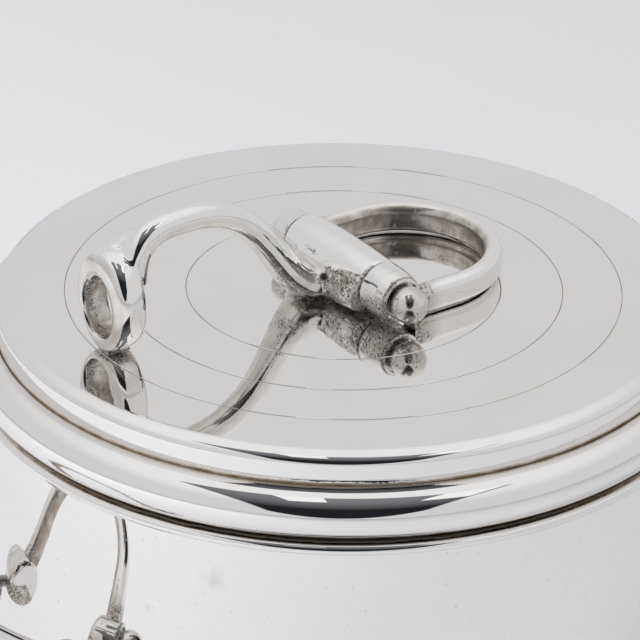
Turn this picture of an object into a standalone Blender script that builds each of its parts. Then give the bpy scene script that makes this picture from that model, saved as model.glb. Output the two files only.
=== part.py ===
"""Silver-plated ice bucket with a lift-off lid. Its lid and side handles are made from halves of riding bits.

Metres, +Z up. The origin is on the table under the middle of the foot. The side handles lie on the X axis.
"""

import math

import bmesh
import bpy
from mathutils import Matrix, Vector

MM = 0.001

# Gaps between pieces
SEAM = 0.3 * MM  # between pieces that touch
PLUG_CLEARANCE = 1.0 * MM  # the lid's plug in the ice cup
LID_SEAT_GAP = 0.5 * MM  # under the lid's roll, where it rests on the cup's flange

# Body
WALL_RADIUS = 96.4 * MM
WALL_SHEET = 1.2 * MM
WALL_HEIGHT = 158.0 * MM
BEAD_RADIUS = 1.2 * MM
BEAD_REACH = 1.0 * MM  # middle of the bead's round, outside the wall
FOOT_HEIGHT = 9.0 * MM
FOOT_REACH = 3.2 * MM  # outside the wall
FOOT_WIDTH = 13.0 * MM
BASE_SHEET = 1.5 * MM
PAD_THICKNESS = 2.0 * MM
LINER_SHEET = 1.5 * MM
LINER_FLANGE = 1.5 * MM
LINER_CORNER = 8.0 * MM
CORK_THICKNESS = 4.0 * MM
CORK_FLOOR = 14.0 * MM
WALL_SPACE = 4.2 * MM  # room for screw heads between the wall and the cork

# Lid
LID_SHEET = 1.2 * MM
ROLL_RADIUS = 6.6 * MM
ROLL_INSET = 3.0 * MM  # middle of the roll, inside the wall's face
EDGE_INSET = 1.3 * MM  # upright edge, inside the middle of the roll
EDGE_ROUND = 2.0 * MM
EDGE_TUCK = 1.6 * MM  # the edge runs this far down behind the roll
LID_RISE = 14.9 * MM  # lid's flat, above the middle of the roll
PLUG_DEPTH = 10.0 * MM
LID_CORK_THICKNESS = 22.0 * MM
LID_BIT_SIDE = 1.5 * MM  # the sleeve's middle lies this far to the arm's side of the lid's,
LID_BIT_FRONT = 1.2 * MM  # and this far in front of it

# Lid handle: sleeve, arm and eye of a half bit
SLEEVE_RADIUS = 7.6 * MM
SLEEVE_LENGTH = 34.4 * MM
SLEEVE_TAPER = 0.6 * MM  # slimmer by this at its ends
SEAT_GAP = 0.4 * MM  # under a barrel that lies on a surface
PIN_RADIUS = 2.6 * MM
ARM_RADIUS = 2.8 * MM
ARM_SWELL = 0.8 * MM  # thicker by this at the eye
ARM_ROOT_DROP = 3.4 * MM  # the arm leaves the sleeve this far under its middle
ARM_ROOT_FLARE = 4.0 * MM  # wider by this at the sleeve, to each side
ARM_SHIFT = 4.7 * MM  # the arm lies this far behind the sleeve's middle
ARM_CROWN_REACH = 47.0 * MM
ARM_CROWN_HEIGHT = 31.6 * MM
ARM_LEAVE = 13.0 * MM  # how far the arm runs on level from the sleeve
ARM_SHOULDER = 20.0 * MM  # how flat its crown is, towards the sleeve
ARM_FALL = 7.0 * MM  # how flat its crown is, towards the eye
EYE_REACH = 69.4 * MM
EYE_HEIGHT = 27.4 * MM
EYE_WIDTH = 20.0 * MM
EYE_BAR = 4.6 * MM
EYE_THICKNESS = 9.2 * MM

# Cheek rings, and the collars and balls that carry them
COLLAR_LENGTH = 9.5 * MM
COLLAR_TAPER = 1.0 * MM  # the collar's end at the ball is slimmer by this
CAP_LENGTH = 9.2 * MM
CAP_ROUND = 2.5 * MM
BALL_RADIUS = 4.9 * MM
BALL_REACH = 3.0 * MM  # middle of the ball, past the collar's end
RING_BAR_WIDTH = 5.3 * MM
RING_BAR_HEIGHT = 8.0 * MM
RING_HALF_WIDTH = 23.4 * MM  # middle of a leg, from the middle of the ring
RING_LEG_LENGTH = 20.6 * MM  # from the barrel to the middle of the round end

# Side handles
HANDLE_DROP = 70.8 * MM  # barrels, under the lid's flat
SIDE_RING_RAISE = math.radians(53.0)  # the rings stand off the wall
BOSS_ROUND = 2.0 * MM

# Screws
SCREW_RADIUS = 1.6 * MM
SCREW_HEAD_RADIUS = 3.2 * MM
SCREW_HEAD_HEIGHT = 2.0 * MM
SCREW_BITE = 3.2 * MM  # how far a screw goes into the casting
DRILL_SPARE = 0.4 * MM

# How finely round shapes are cut
BODY_SIDES = 48
BARREL_SIDES = 20
BAR_SIDES = 8
PIN_SIDES = 16
ARC_STEPS = 6
RISE_STEPS = 10  # along the arm, up to its crown
FALL_STEPS = 8  # and down from it
FLARE_POWER = 6  # how soon the arm's wide root ends
SHARP_EDGE = math.radians(40.0)
SAME_POINT = 1e-4 * MM

# Levels of the body, from the table up
WALL_BOTTOM = FOOT_HEIGHT + SEAM
WALL_TOP = WALL_BOTTOM + WALL_HEIGHT
BEAD_TOP = WALL_TOP + SEAM + 2 * BEAD_RADIUS
WALL_INSIDE = WALL_RADIUS - WALL_SHEET
BASE_BOTTOM = FOOT_HEIGHT + SEAM
BASE_TOP = BASE_BOTTOM + BASE_SHEET
CORK_FLOOR_TOP = BASE_TOP + SEAM + CORK_FLOOR
CORK_OUTSIDE = WALL_INSIDE - WALL_SPACE
CORK_INSIDE = CORK_OUTSIDE - CORK_THICKNESS
LINER_OUTSIDE = CORK_INSIDE - SEAM
LINER_INSIDE = LINER_OUTSIDE - LINER_SHEET
LINER_BOTTOM = CORK_FLOOR_TOP + SEAM

# Levels of the lid
ROLL_BOTTOM = BEAD_TOP + LID_SEAT_GAP
ROLL_LEVEL = ROLL_BOTTOM + ROLL_RADIUS
LID_TOP = ROLL_LEVEL + LID_RISE
ROLL_MIDDLE = WALL_RADIUS - ROLL_INSET
EDGE_RADIUS = ROLL_MIDDLE - EDGE_INSET

# Places along the lid handle's barrel, from the sleeve's middle
AXIS_HEIGHT = SLEEVE_RADIUS + SEAT_GAP
BARREL_RADIUS = SLEEVE_RADIUS - SLEEVE_TAPER  # where the sleeve and the collars meet
SLEEVE_HALF = SLEEVE_LENGTH / 2
COLLAR_START = SLEEVE_HALF + SEAM
COLLAR_END = COLLAR_START + COLLAR_LENGTH
CAP_END = COLLAR_START + CAP_LENGTH
BORE_RADIUS = PIN_RADIUS + SEAM
EYE_LEVEL = SEAM + EYE_HEIGHT / 2
RING_LEG_START = BARREL_RADIUS + SEAM

# Places along a side handle's barrel, from its middle
BOSS_START = RING_HALF_WIDTH - COLLAR_LENGTH / 2
BOSS_END = RING_HALF_WIDTH + COLLAR_LENGTH / 2
WALL_FALL = WALL_RADIUS - math.sqrt(WALL_RADIUS**2 - BOSS_START**2)  # the wall curves away by this at a boss
BOSS_HEIGHT = BARREL_RADIUS + SEAT_GAP - WALL_FALL

FINISHES = {
    "polished_silver": ((0.88, 0.87, 0.85), 0.06, 1.0),
    "cast_silver": ((0.80, 0.78, 0.75), 0.14, 1.0),
    "liner_silver": ((0.84, 0.84, 0.83), 0.20, 1.0),
    "screw_steel": ((0.55, 0.55, 0.56), 0.35, 1.0),
    "cork": ((0.55, 0.38, 0.22), 0.9, 0.0),
    "felt": ((0.05, 0.11, 0.08), 0.95, 0.0),
}


def clear_scene():
    for obj in list(bpy.data.objects):
        bpy.data.objects.remove(obj, do_unlink=True)


def finish(name):
    """The material of this finish, made when it is first asked for."""
    made = bpy.data.materials.get(name)
    if made:
        return made
    colour, roughness, metallic = FINISHES[name]
    made = bpy.data.materials.new(name)
    made.use_nodes = True
    shader = made.node_tree.nodes["Principled BSDF"]
    shader.inputs["Base Color"].default_value = (*colour, 1.0)
    shader.inputs["Roughness"].default_value = roughness
    shader.inputs["Metallic"].default_value = metallic
    return made


def frame(name, matrix, parent=None):
    """An empty that carries the pieces of one handle, or a joint's axis."""
    empty = bpy.data.objects.new(name, None)
    bpy.context.collection.objects.link(empty)
    empty.parent = parent
    empty.matrix_local = matrix
    return empty


def add_piece(name, bm, finish_name, parent=None):
    bmesh.ops.remove_doubles(bm, verts=bm.verts, dist=SAME_POINT)
    bmesh.ops.recalc_face_normals(bm, faces=bm.faces)
    mesh = bpy.data.meshes.new(name)
    bm.to_mesh(mesh)
    bm.free()
    mesh.shade_smooth()
    mesh.set_sharp_from_angle(angle=SHARP_EDGE)
    obj = bpy.data.objects.new(name, mesh)
    obj.data.materials.append(finish(finish_name))
    bpy.context.collection.objects.link(obj)
    obj.parent = parent
    return obj


def arc(middle, radius, start, end, steps=ARC_STEPS):
    """Points of an arc in a turned profile, (radius, height), with its angles in degrees."""
    points = []
    for step in range(steps + 1):
        angle = math.radians(start + (end - start) * step / steps)
        points.append((middle[0] + radius * math.cos(angle), middle[1] + radius * math.sin(angle)))
    return points


def turned(profile, sides=BODY_SIDES, closed=True, upright=True):
    """A profile of (radius, height) turned about Z, or about Y where upright is false.

    A closed profile makes a ring. An open one starts and ends on the axis.
    """
    bm = bmesh.new()
    rings = []
    for radius, height in profile:
        count = sides if radius > SAME_POINT else 1
        ring = []
        for side in range(count):
            angle = 2 * math.pi * side / sides
            across, along = radius * math.cos(angle), radius * math.sin(angle)
            place = (across, along, height) if upright else (across, height, along)
            ring.append(bm.verts.new(place))
        rings.append(ring)
    pairs = list(zip(rings, rings[1:]))
    if closed:
        pairs.append((rings[-1], rings[0]))
    for low, high in pairs:
        for side in range(sides):
            following = (side + 1) % sides
            corners = [low[side % len(low)], low[following % len(low)]]
            corners += [high[following % len(high)], high[side % len(high)]]
            corners = list(dict.fromkeys(corners))
            if len(corners) > 2:
                bm.faces.new(corners)
    return bm


def swept(path, plane_normal, halves, closed=False, sides=BAR_SIDES):
    """An oval bar along a path that lies in one plane.

    halves gives, for each point, half the bar's width in that plane and half its height across it.
    """
    bm = bmesh.new()
    normal = Vector(plane_normal)
    points = [Vector(point) for point in path]
    rings = []
    for index, point in enumerate(points):
        before = points[index - 1] if index or closed else point
        after = points[(index + 1) % len(points)] if closed or index + 1 < len(points) else point
        sideways = normal.cross((after - before).normalized())
        wide, high = halves[index]
        ring = []
        for side in range(sides):
            angle = 2 * math.pi * (side + 0.5) / sides
            offset = sideways * (wide * math.cos(angle)) + normal * (high * math.sin(angle))
            ring.append(bm.verts.new(point + offset))
        rings.append(ring)
    pairs = list(zip(rings, rings[1:]))
    if closed:
        pairs.append((rings[-1], rings[0]))
    else:
        bm.faces.new(rings[0])
        bm.faces.new(rings[-1])
    for low, high in pairs:
        for side in range(sides):
            following = (side + 1) % sides
            bm.faces.new((low[side], low[following], high[following], high[side]))
    return bm


def bezier(start, leave, arrive, end, steps):
    """Points of one cubic curve, without its end."""
    points = []
    for step in range(steps):
        u = step / steps
        weights = ((1 - u) ** 3, 3 * u * (1 - u) ** 2, 3 * u * u * (1 - u), u**3)
        point = Vector((0, 0, 0))
        for corner, weight in zip((start, leave, arrive, end), weights):
            point += Vector(corner) * weight
        points.append(point)
    return points


def combine(target, tool, operation):
    """Applies one Boolean to the target, and removes the tool."""
    modifier = target.modifiers.new(operation.lower(), "BOOLEAN")
    modifier.operation = operation
    modifier.solver = "EXACT"
    modifier.object = tool
    graph = bpy.context.evaluated_depsgraph_get()
    result = bpy.data.meshes.new_from_object(target.evaluated_get(graph))
    target.modifiers.clear()
    old = target.data
    target.data = result
    bpy.data.meshes.remove(old)
    bpy.data.objects.remove(tool, do_unlink=True)


def drill(target, radius, low, high, matrix, parent=None):
    """A round hole through the target, from low to high along the matrix's Z axis."""
    profile = [(0, low), (radius, low), (radius, high), (0, high)]
    bm = turned(profile, PIN_SIDES, closed=False)
    bmesh.ops.transform(bm, matrix=matrix, verts=bm.verts)
    cutter = add_piece("cutter", bm, "screw_steel", parent)
    cutter.hide_render = True
    cutter.display_type = "WIRE"
    combine(target, cutter, "DIFFERENCE")


def ring_profile(inside, outside, bottom, top):
    return [(outside, top), (outside, bottom), (inside, bottom), (inside, top)]


def disc_profile(radius, bottom, top):
    return [(0, top), (radius, top), (radius, bottom), (0, bottom)]


def make_body():
    """The spun wall with its lip and foot, the base, and the insulated ice cup."""
    tube = ring_profile(WALL_INSIDE, WALL_RADIUS, WALL_BOTTOM, WALL_TOP)
    wall = add_piece("body_wall", turned(tube), "polished_silver")

    bead_middle = (WALL_RADIUS + BEAD_REACH, WALL_TOP + SEAM + BEAD_RADIUS)
    bead = arc(bead_middle, BEAD_RADIUS, 90, -90)
    bead += [(WALL_INSIDE, WALL_TOP + SEAM), (WALL_INSIDE, BEAD_TOP)]
    add_piece("rim_bead", turned(bead), "polished_silver")

    foot_outside = WALL_RADIUS + FOOT_REACH
    foot_inside = foot_outside - FOOT_WIDTH
    half = FOOT_HEIGHT / 2
    foot = [(foot_inside, FOOT_HEIGHT)]
    foot += arc((foot_outside - half, half), half, 90, -90)
    foot += [(foot_inside, 0)]
    add_piece("foot_ring", turned(foot), "polished_silver")

    base_radius = WALL_INSIDE - SEAM
    plate = disc_profile(base_radius, BASE_BOTTOM, BASE_TOP)
    add_piece("base_plate", turned(plate, closed=False), "liner_silver")
    pad_top = BASE_BOTTOM - SEAM
    pad = disc_profile(foot_inside - SEAM, pad_top - PAD_THICKNESS, pad_top)
    add_piece("base_pad", turned(pad, closed=False), "felt")

    floor = disc_profile(CORK_OUTSIDE, BASE_TOP + SEAM, CORK_FLOOR_TOP)
    add_piece("insulation_disc", turned(floor, closed=False), "cork")
    flange_bottom = BEAD_TOP - LINER_FLANGE
    sleeve = ring_profile(CORK_INSIDE, CORK_OUTSIDE, CORK_FLOOR_TOP + SEAM, flange_bottom - SEAM)
    add_piece("insulation_sleeve", turned(sleeve), "cork")

    corner = (LINER_OUTSIDE - LINER_CORNER, LINER_BOTTOM + LINER_CORNER)
    liner = [(0, LINER_BOTTOM)]
    liner += arc(corner, LINER_CORNER, -90, 0)
    liner += [(LINER_OUTSIDE, flange_bottom), (WALL_INSIDE - SEAM, flange_bottom)]
    liner += [(WALL_INSIDE - SEAM, BEAD_TOP), (LINER_INSIDE, BEAD_TOP)]
    liner += arc(corner, LINER_CORNER - LINER_SHEET, 0, -90)
    liner += [(0, LINER_BOTTOM + LINER_SHEET)]
    add_piece("inner_liner", turned(liner, closed=False), "liner_silver")
    return wall


def make_lid():
    """The engraved disc, the half-round moulding round it, and the insulated plug underneath."""
    edge_middle = (EDGE_RADIUS - EDGE_ROUND, LID_TOP - EDGE_ROUND)
    edge_bottom = ROLL_LEVEL + ROLL_RADIUS - EDGE_TUCK
    top = [(0, LID_TOP)]
    top += arc(edge_middle, EDGE_ROUND, 90, 0)
    top += [(EDGE_RADIUS, edge_bottom), (EDGE_RADIUS - LID_SHEET, edge_bottom)]
    top += arc(edge_middle, EDGE_ROUND - LID_SHEET, 0, 90)
    top += [(0, LID_TOP - LID_SHEET)]
    disc = add_piece("lid_top", turned(top, closed=False), "polished_silver")

    shoulder = math.degrees(math.acos((SEAM - EDGE_INSET) / ROLL_RADIUS))
    middle = (ROLL_MIDDLE, ROLL_LEVEL)
    roll = arc(middle, ROLL_RADIUS, shoulder, -90, 2 * ARC_STEPS)
    roll += arc(middle, ROLL_RADIUS - LID_SHEET, -90, 90, ARC_STEPS)
    add_piece("lid_rim", turned(roll), "polished_silver")

    plug = LINER_INSIDE - PLUG_CLEARANCE
    flange = ROLL_MIDDLE - SEAM
    bottom = ROLL_BOTTOM - PLUG_DEPTH
    pan = [(0, bottom), (plug, bottom), (plug, ROLL_BOTTOM), (flange, ROLL_BOTTOM)]
    pan += [(flange, ROLL_BOTTOM + LID_SHEET), (plug - LID_SHEET, ROLL_BOTTOM + LID_SHEET)]
    pan += [(plug - LID_SHEET, bottom + LID_SHEET), (0, bottom + LID_SHEET)]
    add_piece("lid_pan", turned(pan, closed=False), "liner_silver")
    cork_bottom = bottom + LID_SHEET + SEAM
    cork = disc_profile(plug - LID_SHEET - SEAM, cork_bottom, cork_bottom + LID_CORK_THICKNESS)
    add_piece("lid_insulation", turned(cork, closed=False), "cork")
    return disc


def arm_path():
    """The arm's middle line, in the X-Z plane: level out of the sleeve, over its crown, down to the eye."""
    across = -ARM_SHIFT
    start = (SLEEVE_RADIUS - ARM_RADIUS, across, AXIS_HEIGHT - ARM_ROOT_DROP)
    crown = (ARM_CROWN_REACH, across, ARM_CROWN_HEIGHT)
    end = (EYE_REACH - EYE_THICKNESS / 4, across, EYE_LEVEL + EYE_HEIGHT / 2 - EYE_BAR)
    leave = (start[0] + ARM_LEAVE, across, start[2])
    shoulder = (crown[0] - ARM_SHOULDER, across, crown[2])
    drop = (end[0] - ARM_RADIUS, across, end[2] + ARM_FALL)
    rise = bezier(start, leave, shoulder, crown, RISE_STEPS)
    brow = (crown[0] + ARM_FALL, across, crown[2])
    fall = bezier(crown, brow, drop, end, FALL_STEPS)
    return rise + fall + [Vector(end)]


def make_bit_arm(name, seat):
    """Sleeve, arm and eye, one casting, bored for the pin and drilled for its two screws."""
    sleeve = [(0, -SLEEVE_HALF), (BARREL_RADIUS, -SLEEVE_HALF), (SLEEVE_RADIUS, -SLEEVE_HALF / 2)]
    sleeve += [(SLEEVE_RADIUS, SLEEVE_HALF / 2), (BARREL_RADIUS, SLEEVE_HALF), (0, SLEEVE_HALF)]
    bm = turned(sleeve, BARREL_SIDES, closed=False, upright=False)
    bmesh.ops.translate(bm, vec=(0, 0, AXIS_HEIGHT), verts=bm.verts)
    arm = add_piece(name, bm, "cast_silver", seat)

    path = arm_path()
    halves = []
    for index in range(len(path)):
        along = index / (len(path) - 1)
        radius = ARM_RADIUS + ARM_SWELL * along
        flare = ARM_ROOT_FLARE * (1 - along) ** FLARE_POWER
        halves.append((radius, radius + flare))
    combine(arm, add_piece("arm_bar", swept(path, (0, 1, 0), halves), "cast_silver", seat), "UNION")

    eye = []
    steps = 4 * ARC_STEPS
    for step in range(steps):
        angle = 2 * math.pi * step / steps
        across = (EYE_WIDTH - EYE_BAR) / 2 * math.sin(angle) - ARM_SHIFT
        height = EYE_LEVEL + (EYE_HEIGHT - EYE_BAR) / 2 * math.cos(angle)
        eye.append((EYE_REACH, across, height))
    oval = [(EYE_BAR / 2, EYE_THICKNESS / 2)] * steps
    combine(arm, add_piece("eye", swept(eye, (1, 0, 0), oval, closed=True), "cast_silver", seat), "UNION")

    along_barrel = Matrix.Translation((0, 0, AXIS_HEIGHT)) @ Matrix.Rotation(math.radians(90), 4, "X")
    drill(arm, BORE_RADIUS, -SLEEVE_LENGTH, SLEEVE_LENGTH, along_barrel, seat)
    for reach, under in lid_screws():
        top = under + SCREW_BITE + DRILL_SPARE
        drill(arm, SCREW_RADIUS + SEAM, -SEAM, top, Matrix.Translation((reach, -ARM_SHIFT, 0)), seat)
    return arm


def lid_screws():
    """Each lid screw's place along the arm, with the height of the casting's underside there."""
    return ((0, SEAT_GAP), (EYE_REACH, SEAM))


def make_screw(name, place, sheet_back, tip, seat):
    """A round-headed screw from behind the sheet into the casting, along the seat's Z axis."""
    under = sheet_back - SEAM
    profile = [(0, under - SCREW_HEAD_HEIGHT), (SCREW_HEAD_RADIUS, under - SCREW_HEAD_HEIGHT)]
    profile += [(SCREW_HEAD_RADIUS, under), (SCREW_RADIUS, under), (SCREW_RADIUS, tip), (0, tip)]
    bm = turned(profile, PIN_SIDES, closed=False)
    bmesh.ops.translate(bm, vec=place, verts=bm.verts)
    add_piece(name, bm, "screw_steel", seat)


def make_ring(name, drop, axis):
    """A D-shaped cheek ring: two straight legs from the barrel, which lies on Y, and a half-round end."""
    path = [(-RING_LEG_START, -RING_HALF_WIDTH, -drop)]
    steps = 3 * ARC_STEPS
    for step in range(steps + 1):
        angle = math.pi * (step / steps - 0.5)
        reach = RING_LEG_LENGTH + RING_HALF_WIDTH * math.cos(angle)
        path.append((-reach, RING_HALF_WIDTH * math.sin(angle), -drop))
    path.append((-RING_LEG_START, RING_HALF_WIDTH, -drop))
    halves = [(RING_BAR_WIDTH / 2, RING_BAR_HEIGHT / 2)] * len(path)
    add_piece(name, swept(path, (0, 0, 1), halves), "polished_silver", axis)


def add_barrel_piece(name, profile, ring, sign, axis):
    """A piece turned about the barrel's axis. A sign of -1 puts it at the other end."""
    mirrored = [(radius, sign * along) for radius, along in profile]
    bm = turned(mirrored, BARREL_SIDES, closed=ring, upright=False)
    add_piece(name, bm, "cast_silver", axis)


def ball_profile(seat):
    """A ball set against a collar's end, from its flat back to its tip."""
    middle = seat + BALL_REACH
    sunk = math.degrees(math.asin((SEAM - BALL_REACH) / BALL_RADIUS))
    round_part = arc((0, middle), BALL_RADIUS, sunk, 90)
    return [(0, seat + SEAM)] + round_part[:-1] + [(0, middle + BALL_RADIUS)]


def make_lid_handle(seat):
    """Half a riding bit on the lid. Its ring and the barrel's ends turn on the pin through the sleeve."""
    make_bit_arm("lid_bit_arm", seat)
    for name, (reach, under) in zip(("lid_sleeve_screw", "lid_eye_screw"), lid_screws()):
        make_screw(name, (reach, -ARM_SHIFT, 0), -LID_SHEET, under + SCREW_BITE, seat)

    axis = frame("lid_ring_axis", Matrix.Translation((0, 0, AXIS_HEIGHT)), seat)
    pin = disc_profile(PIN_RADIUS, CAP_ROUND - CAP_END, COLLAR_END)
    add_piece("lid_bit_pin", turned(pin, PIN_SIDES, closed=False, upright=False), "screw_steel", axis)
    make_ring("lid_bit_ring", AXIS_HEIGHT - RING_BAR_HEIGHT / 2 - SEAT_GAP, axis)

    slim = BARREL_RADIUS - COLLAR_TAPER
    collar = [(BORE_RADIUS, COLLAR_START), (BARREL_RADIUS, COLLAR_START)]
    collar += [(slim, COLLAR_END), (BORE_RADIUS, COLLAR_END)]
    add_barrel_piece("lid_front_collar", collar, True, 1, axis)
    add_barrel_piece("lid_front_ball", ball_profile(COLLAR_END), False, 1, axis)
    bore_end = CAP_END - CAP_ROUND + SEAM
    cap = [(0, bore_end), (BORE_RADIUS, bore_end), (BORE_RADIUS, COLLAR_START), (BARREL_RADIUS, COLLAR_START)]
    cap += arc((BARREL_RADIUS - CAP_ROUND, CAP_END - CAP_ROUND), CAP_ROUND, 0, 90) + [(0, CAP_END)]
    add_barrel_piece("lid_rear_cap", cap, False, -1, axis)


def make_side_handle(prefix, seat, wall, wall_seat):
    """A fixed cheek ring between two bosses, each with a ball end and a screw through the wall."""
    axis = frame(prefix + "ring_axis", Matrix.Translation((0, 0, BOSS_HEIGHT)), seat)
    raised = frame(prefix + "ring_tilt", Matrix.Rotation(SIDE_RING_RAISE, 4, "Y"), axis)
    make_ring(prefix + "handle_ring", 0, raised)
    boss = [(0, BOSS_START)]
    boss += arc((BARREL_RADIUS - BOSS_ROUND, BOSS_START + BOSS_ROUND), BOSS_ROUND, -90, 0)
    boss += [(BARREL_RADIUS - COLLAR_TAPER, BOSS_END), (0, BOSS_END)]
    under = BOSS_HEIGHT - BARREL_RADIUS
    head_side = RING_HALF_WIDTH + SCREW_HEAD_RADIUS
    sheet_back = math.sqrt(WALL_INSIDE**2 - head_side**2) - WALL_RADIUS
    for end, sign in (("front_", 1), ("rear_", -1)):
        add_barrel_piece(prefix + end + "boss", boss, False, sign, axis)
        add_barrel_piece(prefix + end + "ball", ball_profile(BOSS_END), False, sign, axis)
        across = sign * RING_HALF_WIDTH
        make_screw(prefix + end + "screw", (0, across, 0), sheet_back, under + SCREW_BITE, seat)
        place = Matrix.Translation((0, across, 0))
        boss_piece = bpy.data.objects[prefix + end + "boss"]
        drill(boss_piece, SCREW_RADIUS + SEAM, under - SEAM, under + SCREW_BITE + DRILL_SPARE, place, seat)
        drill(wall, SCREW_RADIUS + SEAM, 2 * sheet_back, 0, wall_seat @ place)


def main():
    clear_scene()
    wall = make_body()
    disc = make_lid()

    # On the lid the arm points to -X and the barrel's front end to -Y.
    turn = Matrix.Rotation(math.pi, 4, "Z")
    lid_seat = Matrix.Translation((-LID_BIT_SIDE, -LID_BIT_FRONT, LID_TOP)) @ turn
    for reach, _ in lid_screws():
        place = lid_seat @ Matrix.Translation((reach, -ARM_SHIFT, 0))
        drill(disc, SCREW_RADIUS + SEAM, -2 * LID_SHEET, LID_SHEET, place)
    make_lid_handle(frame("lid_bit_seat", lid_seat))

    # On the wall the surface faces sideways, with the ring towards the lid.
    outward = Matrix.Rotation(math.radians(90), 4, "Y")
    hang = Matrix.Translation((WALL_RADIUS, 0, LID_TOP - HANDLE_DROP)) @ outward
    for prefix, side in (("right_", 0), ("left_", math.pi)):
        wall_seat = Matrix.Rotation(side, 4, "Z") @ hang
        make_side_handle(prefix, frame(prefix + "handle_seat", wall_seat), wall, wall_seat)
    bpy.context.view_layer.update()


main()
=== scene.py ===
# %% [markdown]
# # A silver-plated ice bucket with riding-bit handles
#
# The solids come from the CAD model and are loaded as a fixed frame. This lesson dresses them: each
# visible piece is rebuilt finely enough for a mirror finish, and gets a material made from nodes.
# The body and the lid were spun and turned, the handles were cast, and all of it was silver-plated.

# %% Load the frame
import math

import bmesh
import bpy
import numpy as np
from mathutils import Matrix, Vector


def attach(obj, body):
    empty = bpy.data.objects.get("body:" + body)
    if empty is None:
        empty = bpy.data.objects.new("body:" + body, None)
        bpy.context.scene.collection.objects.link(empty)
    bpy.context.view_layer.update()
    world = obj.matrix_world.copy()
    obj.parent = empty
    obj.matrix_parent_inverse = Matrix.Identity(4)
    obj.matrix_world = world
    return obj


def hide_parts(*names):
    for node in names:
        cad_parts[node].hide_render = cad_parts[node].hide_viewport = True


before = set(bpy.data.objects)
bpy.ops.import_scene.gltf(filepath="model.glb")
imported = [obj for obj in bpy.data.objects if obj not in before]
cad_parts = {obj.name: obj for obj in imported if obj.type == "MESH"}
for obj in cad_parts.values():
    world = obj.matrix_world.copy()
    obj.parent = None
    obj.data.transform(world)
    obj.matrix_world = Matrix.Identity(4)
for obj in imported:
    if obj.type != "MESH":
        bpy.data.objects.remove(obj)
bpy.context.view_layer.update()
scene = bpy.context.scene
scene.view_settings.view_transform = "Standard"
MM = 0.001

# %% [markdown]
# ## Sizes
#
# A spun bucket is described by a few radii and levels. They follow the CAD model's values, so that a
# fine piece lies where its plain solid does.

# %% Sizes
SEAM = 0.3 * MM
WALL_RADIUS = 96.4 * MM
WALL_INSIDE = 95.2 * MM
WALL_BOTTOM, WALL_TOP = 9.3 * MM, 167.3 * MM
BEAD_RADIUS = 1.35 * MM
BEAD_TOP = 170.0 * MM
ROLL_RADIUS = 6.6 * MM
ROLL_MIDDLE = 93.4 * MM
ROLL_LEVEL = 177.1 * MM
LID_TOP = 192.0 * MM
LID_SHEET = 1.2 * MM
EDGE_RADIUS = 92.1 * MM
EDGE_BOTTOM = ROLL_LEVEL + ROLL_RADIUS - 1.6 * MM
LINER_INSIDE = 85.2 * MM
BIT_X, BIT_Y = -1.5 * MM, -1.2 * MM
AXIS_HEIGHT = 8.0 * MM
SLEEVE_RADIUS, BARREL_RADIUS = 7.6 * MM, 7.0 * MM
SLEEVE_HALF = 17.2 * MM
ARM_SHIFT = 2.5 * MM
RING_HALF_WIDTH, RING_LEG = 23.4 * MM, 20.6 * MM
print("lid", round(2 * EDGE_RADIUS / MM, 1), "mm across, its top at", round(LID_TOP / MM, 1), "mm")

# %% [markdown]
# ## Camera
#
# The photograph was taken from about a metre away with a long lens, a little left of the front and
# above the lid. The camera is placed from the lid's middle, aimed, and rolled by under a degree.

# %% Camera
PIXELS = 640
FOCAL_PIXELS = 4150.0
SENSOR_WIDTH = 36.0
PIXELS_PER_MM = 3.788
AZIMUTH, ELEVATION, ROLL = math.radians(-36.0), math.radians(26.93), math.radians(0.74)
LID_PIXEL = (342.7, 285.3)

to_camera = Vector((math.sin(AZIMUTH), -math.cos(AZIMUTH), 0))
back = to_camera * math.cos(ELEVATION) + Vector((0, 0, math.sin(ELEVATION)))
right = Vector((math.cos(AZIMUTH), math.sin(AZIMUTH), 0))
up = back.cross(right)
lid_middle = Vector((0, 0, LID_TOP))
eye_point = lid_middle + back * (FOCAL_PIXELS / PIXELS_PER_MM * MM)
aside = (LID_PIXEL[0] - PIXELS / 2) / PIXELS_PER_MM * MM
above = (PIXELS / 2 - LID_PIXEL[1]) / PIXELS_PER_MM * MM
aim = lid_middle - right * aside - up * above
camera_data = bpy.data.cameras.new("camera")
camera_data.sensor_width = SENSOR_WIDTH
camera_data.lens = SENSOR_WIDTH * FOCAL_PIXELS / PIXELS
camera_data.clip_start = 0.05
camera = bpy.data.objects.new("camera", camera_data)
scene.collection.objects.link(camera)
turn = (eye_point - aim).to_track_quat("Z", "Y").to_matrix().to_4x4()
camera.matrix_world = Matrix.Translation(eye_point) @ turn @ Matrix.Rotation(ROLL, 4, "Z")
scene.camera = camera
print("camera at", [round(value, 3) for value in eye_point])

# %% [markdown]
# ## Helpers for nodes and colours
#
# Every colour is written as a screen value and turned to linear light by one function. One function
# adds a node, with its settings and the sockets that feed it.

# %% Node and colour helpers
def linear(code):
    """A screen colour such as "e8e4dc" as linear red, green, blue and alpha."""
    channels = [int(code[place:place + 2], 16) / 255 for place in (0, 2, 4)]
    return [c / 12.92 if c <= 0.04045 else ((c + 0.055) / 1.055) ** 2.4 for c in channels] + [1.0]


def add_node(tree, kind, inputs=None, **settings):
    """Adds a node. settings are its own properties. inputs gives each socket a number, or what feeds it."""
    node = tree.nodes.new(kind)
    for name, value in settings.items():
        setattr(node, name, value)
    for place, value in (inputs or {}).items():
        if isinstance(value, bpy.types.NodeSocket):
            tree.links.new(value, node.inputs[place])
        else:
            node.inputs[place].default_value = value
    return node


def new_material(name):
    material = bpy.data.materials.new(name)
    material.use_nodes = True
    material.node_tree.nodes.clear()
    return material, material.node_tree


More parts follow.
